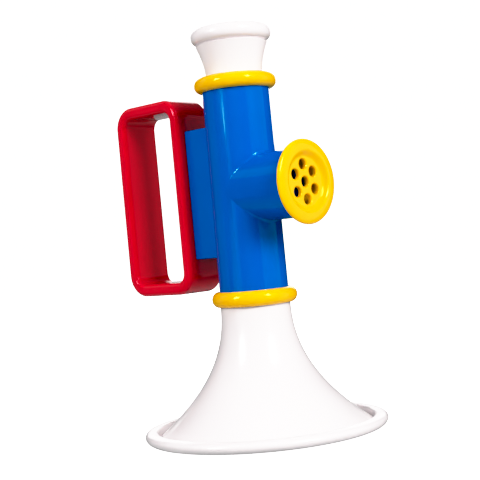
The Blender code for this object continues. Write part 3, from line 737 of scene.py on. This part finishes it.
def screwTree():
    tree, start, end = newTree("setScrews", [
        ("Blank", "Geometry"), ("Screw", "Object"), ("Seat", "Vector"), ("Step", "Vector"), ("Count", "Int"),
        ("Seed", "Int"), ("Finish", "Material")])
    row = tree.nodes.new("GeometryNodeMeshLine")
    form = tree.nodes.new("GeometryNodeObjectInfo")
    spin = tree.nodes.new("FunctionNodeRandomValue")
    spin.inputs[3].default_value = math.pi / 2  # the float maximum
    axis = tree.nodes.new("FunctionNodeAxisAngleToRotation")
    lay = tree.nodes.new("FunctionNodeEulerToRotation")
    lay.inputs["Euler"].default_value = (0, -math.pi / 2, 0)
    turned = tree.nodes.new("FunctionNodeRotateRotation")
    turned.rotation_space = "LOCAL"
    place = tree.nodes.new("GeometryNodeInstanceOnPoints")
    join = tree.links.new
    join(start.outputs["Count"], row.inputs["Count"])
    join(start.outputs["Seat"], row.inputs["Start Location"])
    join(start.outputs["Step"], row.inputs["Offset"])
    join(start.outputs["Screw"], form.inputs["Object"])
    join(start.outputs["Seed"], spin.inputs["Seed"])
    join(spin.outputs[1], axis.inputs["Angle"])
    join(lay.outputs["Rotation"], turned.inputs["Rotation"])
    join(axis.outputs["Rotation"], turned.inputs["Rotate By"])
    join(row.outputs["Mesh"], place.inputs["Points"])
    join(form.outputs["Geometry"], place.inputs["Instance"])
    join(turned.outputs["Rotation"], place.inputs["Rotation"])
    endTree(tree, place.outputs["Instances"], start, end)
    return tree


def makeScrews():
    core = screw["radius"] - screw["threadDepth"]
    climb = screw["tip"] - screw["length"]
    outline = [(0, -screw["length"]), (core, climb)]
    while climb + screw["pitch"] < -screw["plain"]:
        outline.append((screw["radius"], climb + screw["pitch"] / 2))
        climb += screw["pitch"]
        outline.append((core, climb))
    outline.append((core, 0))
    outline += arc((0, 0), (screw["headRadius"], screw["headHeight"]), 0, 90, screw["headSteps"])
    form = turn("screw_form", outline, screwSteel, screw["turnSteps"])
    narrow, wide = screw["slotWidth"] / 2, screw["slotLength"] / 2
    slotFloor = screw["headHeight"] - screw["slotDepth"]
    for across, along in ((narrow, wide), (wide, narrow)):
        bit = slab("cross_slot", (-across, -along, slotFloor), (across, along, screw["slotPast"]), screwSteel)
        cut(form, bit, "DIFFERENCE")
    thing = newPiece("handle_screws")
    runTree(thing, screwTree(), {
        "Screw": form, "Seat": (axisX + screw["seat"], 0, screwHeights[0]), "Count": len(screwHeights),
        "Step": (0, 0, screwHeights[1] - screwHeights[0]), "Seed": screw["seed"], "Finish": screwSteel,
    })
    bpy.data.objects.remove(form)
    return cleanUp(thing, screw["sharp"])


handOver(makeScrews(), "trumpet", "screw_steel", "handle_screw_lower", "handle_screw_upper")
print("handle screws set")


# reed unit inside the tube

reeds = {
    "carrierRadius": 0.0128, "carrierBottom": 0.1407, "carrierTop": 0.1447, "bottomEdge": 0.0004,
    "topEdge": 0.0003, "pocketHalf": (0.010989, 0.0053), "pocketFloor": 0.1434,
    "windowHalf": (0.00947, 0.0043), "cutLow": 0.13, "cutHigh": 0.16, "gasketBottom": 0.1450,
    "gasketTop": 0.1470, "gasketBore": 0.009889, "gasketEdge": 0.0005, "plateMiddle": 0.1442,
    "plateThickness": 0.0010, "rivetX": -0.00777, "spacing": 0.0048, "rivetRadius": 0.0005,
    "headRadius": 0.0010, "headHeight": 0.0005, "lift": 0.0010, "thickness": 0.0004, "rivetCount": 2,
    "turnSteps": 128, "rivetSteps": 36, "headSteps": 8, "sharp": 30,
}


def rivetTree():
    tree, start, end = newTree("setRivets", [
        ("Blank", "Geometry"), ("Rivet", "Object"), ("First", "Vector"), ("Step", "Vector"), ("Count", "Int"),
        ("Finish", "Material")])
    row = tree.nodes.new("GeometryNodeMeshLine")
    form = tree.nodes.new("GeometryNodeObjectInfo")
    index = tree.nodes.new("GeometryNodeInputIndex")
    half = tree.nodes.new("ShaderNodeMath")
    half.operation = "MULTIPLY"
    half.inputs[1].default_value = math.pi  # every other rivet goes in from below
    flip = tree.nodes.new("FunctionNodeAxisAngleToRotation")
    flip.inputs["Axis"].default_value = (1, 0, 0)
    place = tree.nodes.new("GeometryNodeInstanceOnPoints")
    join = tree.links.new
    join(start.outputs["Count"], row.inputs["Count"])
    join(start.outputs["First"], row.inputs["Start Location"])
    join(start.outputs["Step"], row.inputs["Offset"])
    join(start.outputs["Rivet"], form.inputs["Object"])
    join(index.outputs["Index"], half.inputs[0])
    join(half.outputs["Value"], flip.inputs["Angle"])
    join(row.outputs["Mesh"], place.inputs["Points"])
    join(form.outputs["Geometry"], place.inputs["Instance"])
    join(flip.outputs["Rotation"], place.inputs["Rotation"])
    endTree(tree, place.outputs["Instances"], start, end)
    return tree


def makeReedUnit():
    ring = reeds["carrierRadius"]
    outline = [(0, reeds["carrierBottom"]), (ring, reeds["carrierBottom"], reeds["bottomEdge"])]
    outline += [(ring, reeds["carrierTop"], reeds["topEdge"]), (0, reeds["carrierTop"])]
    carrier = turn("reed_holder", eased(outline), carrierSatin, reeds["turnSteps"])
    for name, half, floor in (("pocket", "pocketHalf", "pocketFloor"), ("window", "windowHalf", "cutLow")):
        across, wide = reeds[half]
        hollow = slab(name, (-across, -wide, reeds[floor]), (across, wide, reeds["cutHigh"]), carrierSatin)
        cut(carrier, hollow, "DIFFERENCE")
    putAt(cleanUp(carrier, reeds["sharp"]), onAxis)
    bore, edge = reeds["gasketBore"], reeds["gasketEdge"]
    outline = [(bore, reeds["gasketBottom"], edge), (ring, reeds["gasketBottom"], edge)]
    outline += [(ring, reeds["gasketTop"], edge), (bore, reeds["gasketTop"], edge)]
    gasket = turn("reed_seal", eased(outline), gasketRubber, reeds["turnSteps"], onAxis)
    upper = reeds["lift"] + reeds["thickness"] / 2 + fit
    lower = -reeds["plateThickness"] / 2 - fit
    head = (reeds["headRadius"], reeds["headHeight"])
    outline = arc((0, lower), head, -90, 0, reeds["headSteps"])
    outline += [(reeds["rivetRadius"], lower), (reeds["rivetRadius"], upper)]
    outline += arc((0, upper), head, 0, 90, reeds["headSteps"])
    form = turn("rivet_form", outline, rivetBrass, reeds["rivetSteps"])
    rivets = newPiece("reed_rivets")
    runTree(rivets, rivetTree(), {
        "Rivet": form, "First": (axisX + reeds["rivetX"], reeds["spacing"] / 2, reeds["plateMiddle"]),
        "Step": (0, -reeds["spacing"], 0), "Count": reeds["rivetCount"], "Finish": rivetBrass,
    })
    bpy.data.objects.remove(form)
    cleanUp(rivets)
    return carrier, gasket, rivets


carrier, gasket, rivets = makeReedUnit()
handOver(carrier, "trumpet", "carrier_plastic", "reed_carrier")
handOver(gasket, "trumpet", "gasket_rubber", "reed_gasket")
handOver(rivets, "trumpet", "reed_brass", "reed_rivet_blow", "reed_rivet_draw")
for name in ("reed_plate", "reed_tongue_blow", "reed_tongue_draw"):
    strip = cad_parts[name]
    strip.data.materials.clear()
    strip.data.materials.append(stripBrass)
print("reed unit dressed")


# studio

studio = {
    "azimuth": 43.837, "elevation": -0.065, "roll": 5.339, "distance": 0.51976, "lens": 86.016,
    "sensor": 36, "clip": 0.01, "aimHeight": 0.087507, "aimSide": -0.004273,
    "below": 0.6, "horizon": 0.065, "zenith": 0.42, "dusk": 0.02, "aloft": 0.15, "aloftHeight": 0.7,
    "overhead": 1.1, "backdrop": 1.7, "black": 0.008, "white": 1.6,
}
floorSheet = {
    "reach": 6, "drop": 0.0002, "grain": 3, "detail": 2, "dark": (0.93, 0.93, 0.93),
    "light": (0.95, 0.95, 0.95), "rough": 0.9, "glow": 1.5,
}
# pairs of what comes in and what is shown, warm for red alone and after the shoulder
shoulderCurve = ((0.5, 0.5), (0.7, 0.7), (0.9, 0.87), (1.1, 0.95), (1.35, 0.985))
warmCurve = (
    (0.03, 0.005), (0.1, 0.075), (0.2, 0.185), (0.5, 0.5), (0.7, 0.715), (0.85, 0.905), (0.93, 0.975),
)
# turn is degrees to the camera's right, rise is degrees up from level
lamps = {
    "key right": {"turn": 31, "rise": 28, "distance": 1.2, "width": 0.28, "height": 0.46, "power": 10.2},
    "gloss right": {"turn": 38, "rise": 28, "distance": 1.2, "width": 0.28, "height": 0.46, "power": 10.4},
    "key left": {"turn": -53, "rise": 24.5, "distance": 1.2, "width": 0.26, "height": 0.46, "power": 7.0},
    "side right": {"turn": 55, "rise": 17, "distance": 0.8, "width": 0.24, "height": 0.24, "power": 2.9},
    "side left": {"turn": -88, "rise": 14, "distance": 1.2, "width": 0.5, "height": 0.9, "power": 3.3},
    "front": {"turn": -6, "rise": 10, "distance": 1.4, "width": 0.6, "height": 0.6, "power": 2.6},
    "spark right": {"turn": 38, "rise": 29, "distance": 1.2, "width": 0.16, "height": 0.26, "power": 6.0},
    "spark left": {"turn": -53, "rise": 25, "distance": 1.2, "width": 0.16, "height": 0.26, "power": 6.0},
    "back": {"turn": 180, "rise": 22, "distance": 1.6, "width": 1.4, "height": 0.9, "power": 9.0},
}
unmirrored = ("key right", "side right", "side left", "front")  # flagged off from the gloss
sparks = ("gloss right", "spark right", "spark left")  # seen in the gloss alone
# pale patches of wall, reach is degrees out from the middle, glow lights the toy and shine is mirrored in it
walls = {
    "right": {"turn": 70, "rise": 0, "reach": 35, "blur": 2, "glow": 0.28, "shine": 0.8},
    "left": {"turn": -106, "rise": 0, "reach": 20, "blur": 3, "glow": 0.13, "shine": 0.3},
    "left high": {"turn": -106, "rise": 30, "reach": 13, "blur": 3, "glow": 0.0, "shine": 0.7},
    "left strip": {"turn": -55, "rise": 0, "reach": 15, "blur": 6, "glow": 0.0, "shine": 0.9},
    "behind": {"turn": 180, "rise": 3, "reach": 12, "blur": 4, "glow": 0.0, "shine": 0.45},
    "table": {"turn": 0, "rise": -90, "reach": 60, "blur": 12, "glow": 0.16, "shine": 0.2},
}
swing, tilt, roll = (math.radians(studio[key]) for key in ("azimuth", "elevation", "roll"))
level = Vector((math.sin(swing), -math.cos(swing), 0))
sideways = Vector((math.cos(swing), math.sin(swing), 0))
towards = level * math.cos(tilt) + Vector((0, 0, math.sin(tilt)))
upwards = towards.cross(sideways)


def placeCamera():
    right = sideways * math.cos(roll) - upwards * math.sin(roll)
    up = sideways * math.sin(roll) + upwards * math.cos(roll)
    aim = Vector((axisX, 0, studio["aimHeight"])) + studio["aimSide"] * sideways
    lens = bpy.data.cameras.new("studio camera")
    lens.lens = studio["lens"]
    lens.sensor_width = studio["sensor"]
    lens.clip_start = studio["clip"]
    camera = bpy.data.objects.new("studio camera", lens)
    facing = Matrix((right, up, towards)).transposed().to_4x4()
    camera.matrix_world = Matrix.Translation(aim + studio["distance"] * towards) @ facing
    bpy.context.scene.collection.objects.link(camera)
    bpy.context.scene.camera = camera


def placeLamp(name, box):
    lamp = bpy.data.lights.new(name, "AREA")
    lamp.shape = "RECTANGLE"
    lamp.size = box["width"]
    lamp.size_y = box["height"]
    lamp.energy = box["power"]
    turned, raised = math.radians(box["turn"]), math.radians(box["rise"])
    out = (level * math.cos(turned) + sideways * math.sin(turned)) * math.cos(raised)
    out.z = math.sin(raised)
    holder = bpy.data.objects.new(name, lamp)
    holder.location = Vector((axisX, 0, studio["aimHeight"])) + out * box["distance"]
    holder.rotation_euler = out.to_track_quat("Z", "Y").to_euler()
    holder.visible_glossy = name not in unmirrored
    holder.visible_diffuse = name not in sparks
    bpy.context.scene.collection.objects.link(holder)


def makeFloor():
    far = floorSheet["reach"]
    corners = [(-far, -far, 0), (far, -far, 0), (far, far, 0), (-far, far, 0)]
    floor = newPiece("floor", corners, [], [(0, 1, 2, 3)])
    putAt(floor, Matrix.Translation((0, 0, -floorSheet["drop"])))
    pale, nodes, links, shader = newFinish("pale floor")
    grain = noiseOn(nodes, links, floorSheet["grain"], floorSheet["detail"])
    pales = twoTones(nodes, links, grain, floorSheet["dark"], floorSheet["light"])
    links.new(pales, shader.inputs["Base Color"])
    shader.inputs["Roughness"].default_value = floorSheet["rough"]
    shader.inputs["Emission Color"].default_value = (1, 1, 1, 1)
    shader.inputs["Emission Strength"].default_value = floorSheet["glow"]
    floor.data.materials.append(pale)
    floor.visible_diffuse = False  # its light on the toy comes from below in the room
    floor.visible_glossy = False


def wallPatch(nodes, links, where, wall):
    turned = math.radians(wall["turn"])
    facing = nodes.new("ShaderNodeVectorMath")
    facing.operation = "DOT_PRODUCT"
    raised = math.radians(wall["rise"])
    aside = level * math.cos(turned) + sideways * math.sin(turned)
    facing.inputs[1].default_value = aside * math.cos(raised) + Vector((0, 0, math.sin(raised)))
    patch = nodes.new("ShaderNodeMapRange")
    patch.interpolation_type = "SMOOTHSTEP"
    patch.inputs["From Min"].default_value = math.cos(math.radians(wall["reach"] + wall["blur"]))
    patch.inputs["From Max"].default_value = math.cos(math.radians(wall["reach"] - wall["blur"]))
    links.new(where, facing.inputs[0])
    links.new(facing.outputs["Value"], patch.inputs["Value"])
    return patch.outputs["Result"]


def addUp(nodes, links, total, patch, strength):
    both = nodes.new("ShaderNodeMath")
    both.operation = "MULTIPLY_ADD"
    both.inputs[1].default_value = strength
    links.new(patch, both.inputs[0])
    links.new(total, both.inputs[2])
    return both.outputs["Value"]


def heightCurve(nodes, links, height, below, horizon, zenith, halfway=None):
    rise = nodes.new("ShaderNodeFloatCurve")
    rise.mapping.use_clip = False
    curve = rise.mapping.curves[0]
    curve.points[0].location = (-1, below)
    curve.points[1].location = (1, zenith)
    curve.points.new(0, horizon)
    if halfway is not None:
        curve.points.new(studio["aloftHeight"], halfway)
    rise.mapping.update()
    links.new(height, rise.inputs["Value"])
    return rise.outputs["Value"]


def makeSky():
    # the toy is lit by a dim room with pale walls, mirrors those walls and stands before a white sweep
    world = bpy.data.worlds.new("studio room")
    world.use_nodes = True
    bpy.context.scene.world = world
    nodes, links = world.node_tree.nodes, world.node_tree.links
    where = nodes.new("ShaderNodeTexCoord").outputs["Generated"]
    parts = nodes.new("ShaderNodeSeparateXYZ")
    links.new(where, parts.inputs["Vector"])
    height, below = parts.outputs["Z"], studio["below"]
    glow = heightCurve(nodes, links, height, below, studio["horizon"], studio["zenith"])
    shine = heightCurve(nodes, links, height, below, studio["dusk"], studio["overhead"], studio["aloft"])
    for wall in walls.values():
        patch = wallPatch(nodes, links, where, wall)
        glow = addUp(nodes, links, glow, patch, wall["glow"])
        shine = addUp(nodes, links, shine, patch, wall["shine"])
    rays = nodes.new("ShaderNodeLightPath")
    either = nodes.new("ShaderNodeMix")
    links.new(rays.outputs["Is Glossy Ray"], either.inputs["Factor"])
    links.new(glow, either.inputs["A"])
    links.new(shine, either.inputs["B"])
    room = nodes["Background"]
    room.inputs["Color"].default_value = (1, 1, 1, 1)
    links.new(either.outputs["Result"], room.inputs["Strength"])
    sweep = nodes.new("ShaderNodeBackground")
    sweep.inputs["Color"].default_value = (1, 1, 1, 1)
    sweep.inputs["Strength"].default_value = studio["backdrop"]
    both = nodes.new("ShaderNodeMixShader")
    links.new(rays.outputs["Is Camera Ray"], both.inputs["Fac"])
    links.new(room.outputs["Background"], both.inputs[1])
    links.new(sweep.outputs["Background"], both.inputs[2])
    links.new(both.outputs["Shader"], nodes["World Output"].inputs["Surface"])


def setExposure():
    # straight up to the mid tones, then a soft shoulder that keeps form in the whites
    view = bpy.context.scene.view_settings
    view.view_transform = "Standard"
    view.use_curve_mapping = True
    film = view.curve_mapping
    film.black_level = [studio["black"]] * 3
    film.white_level = [studio["white"]] * 3
    shoulder = film.curves[3]
    for seen, shown in shoulderCurve:
        shoulder.points.new(seen / studio["white"], shown)
    warm = film.curves[0]  # faint reds drop out and strong ones reach full brightness first
    for seen, shown in warmCurve:
        warm.points.new(seen, shown)
    film.update()


placeCamera()
for name, box in lamps.items():
    placeLamp(name, box)
makeFloor()
makeSky()
setExposure()
print("studio lit")
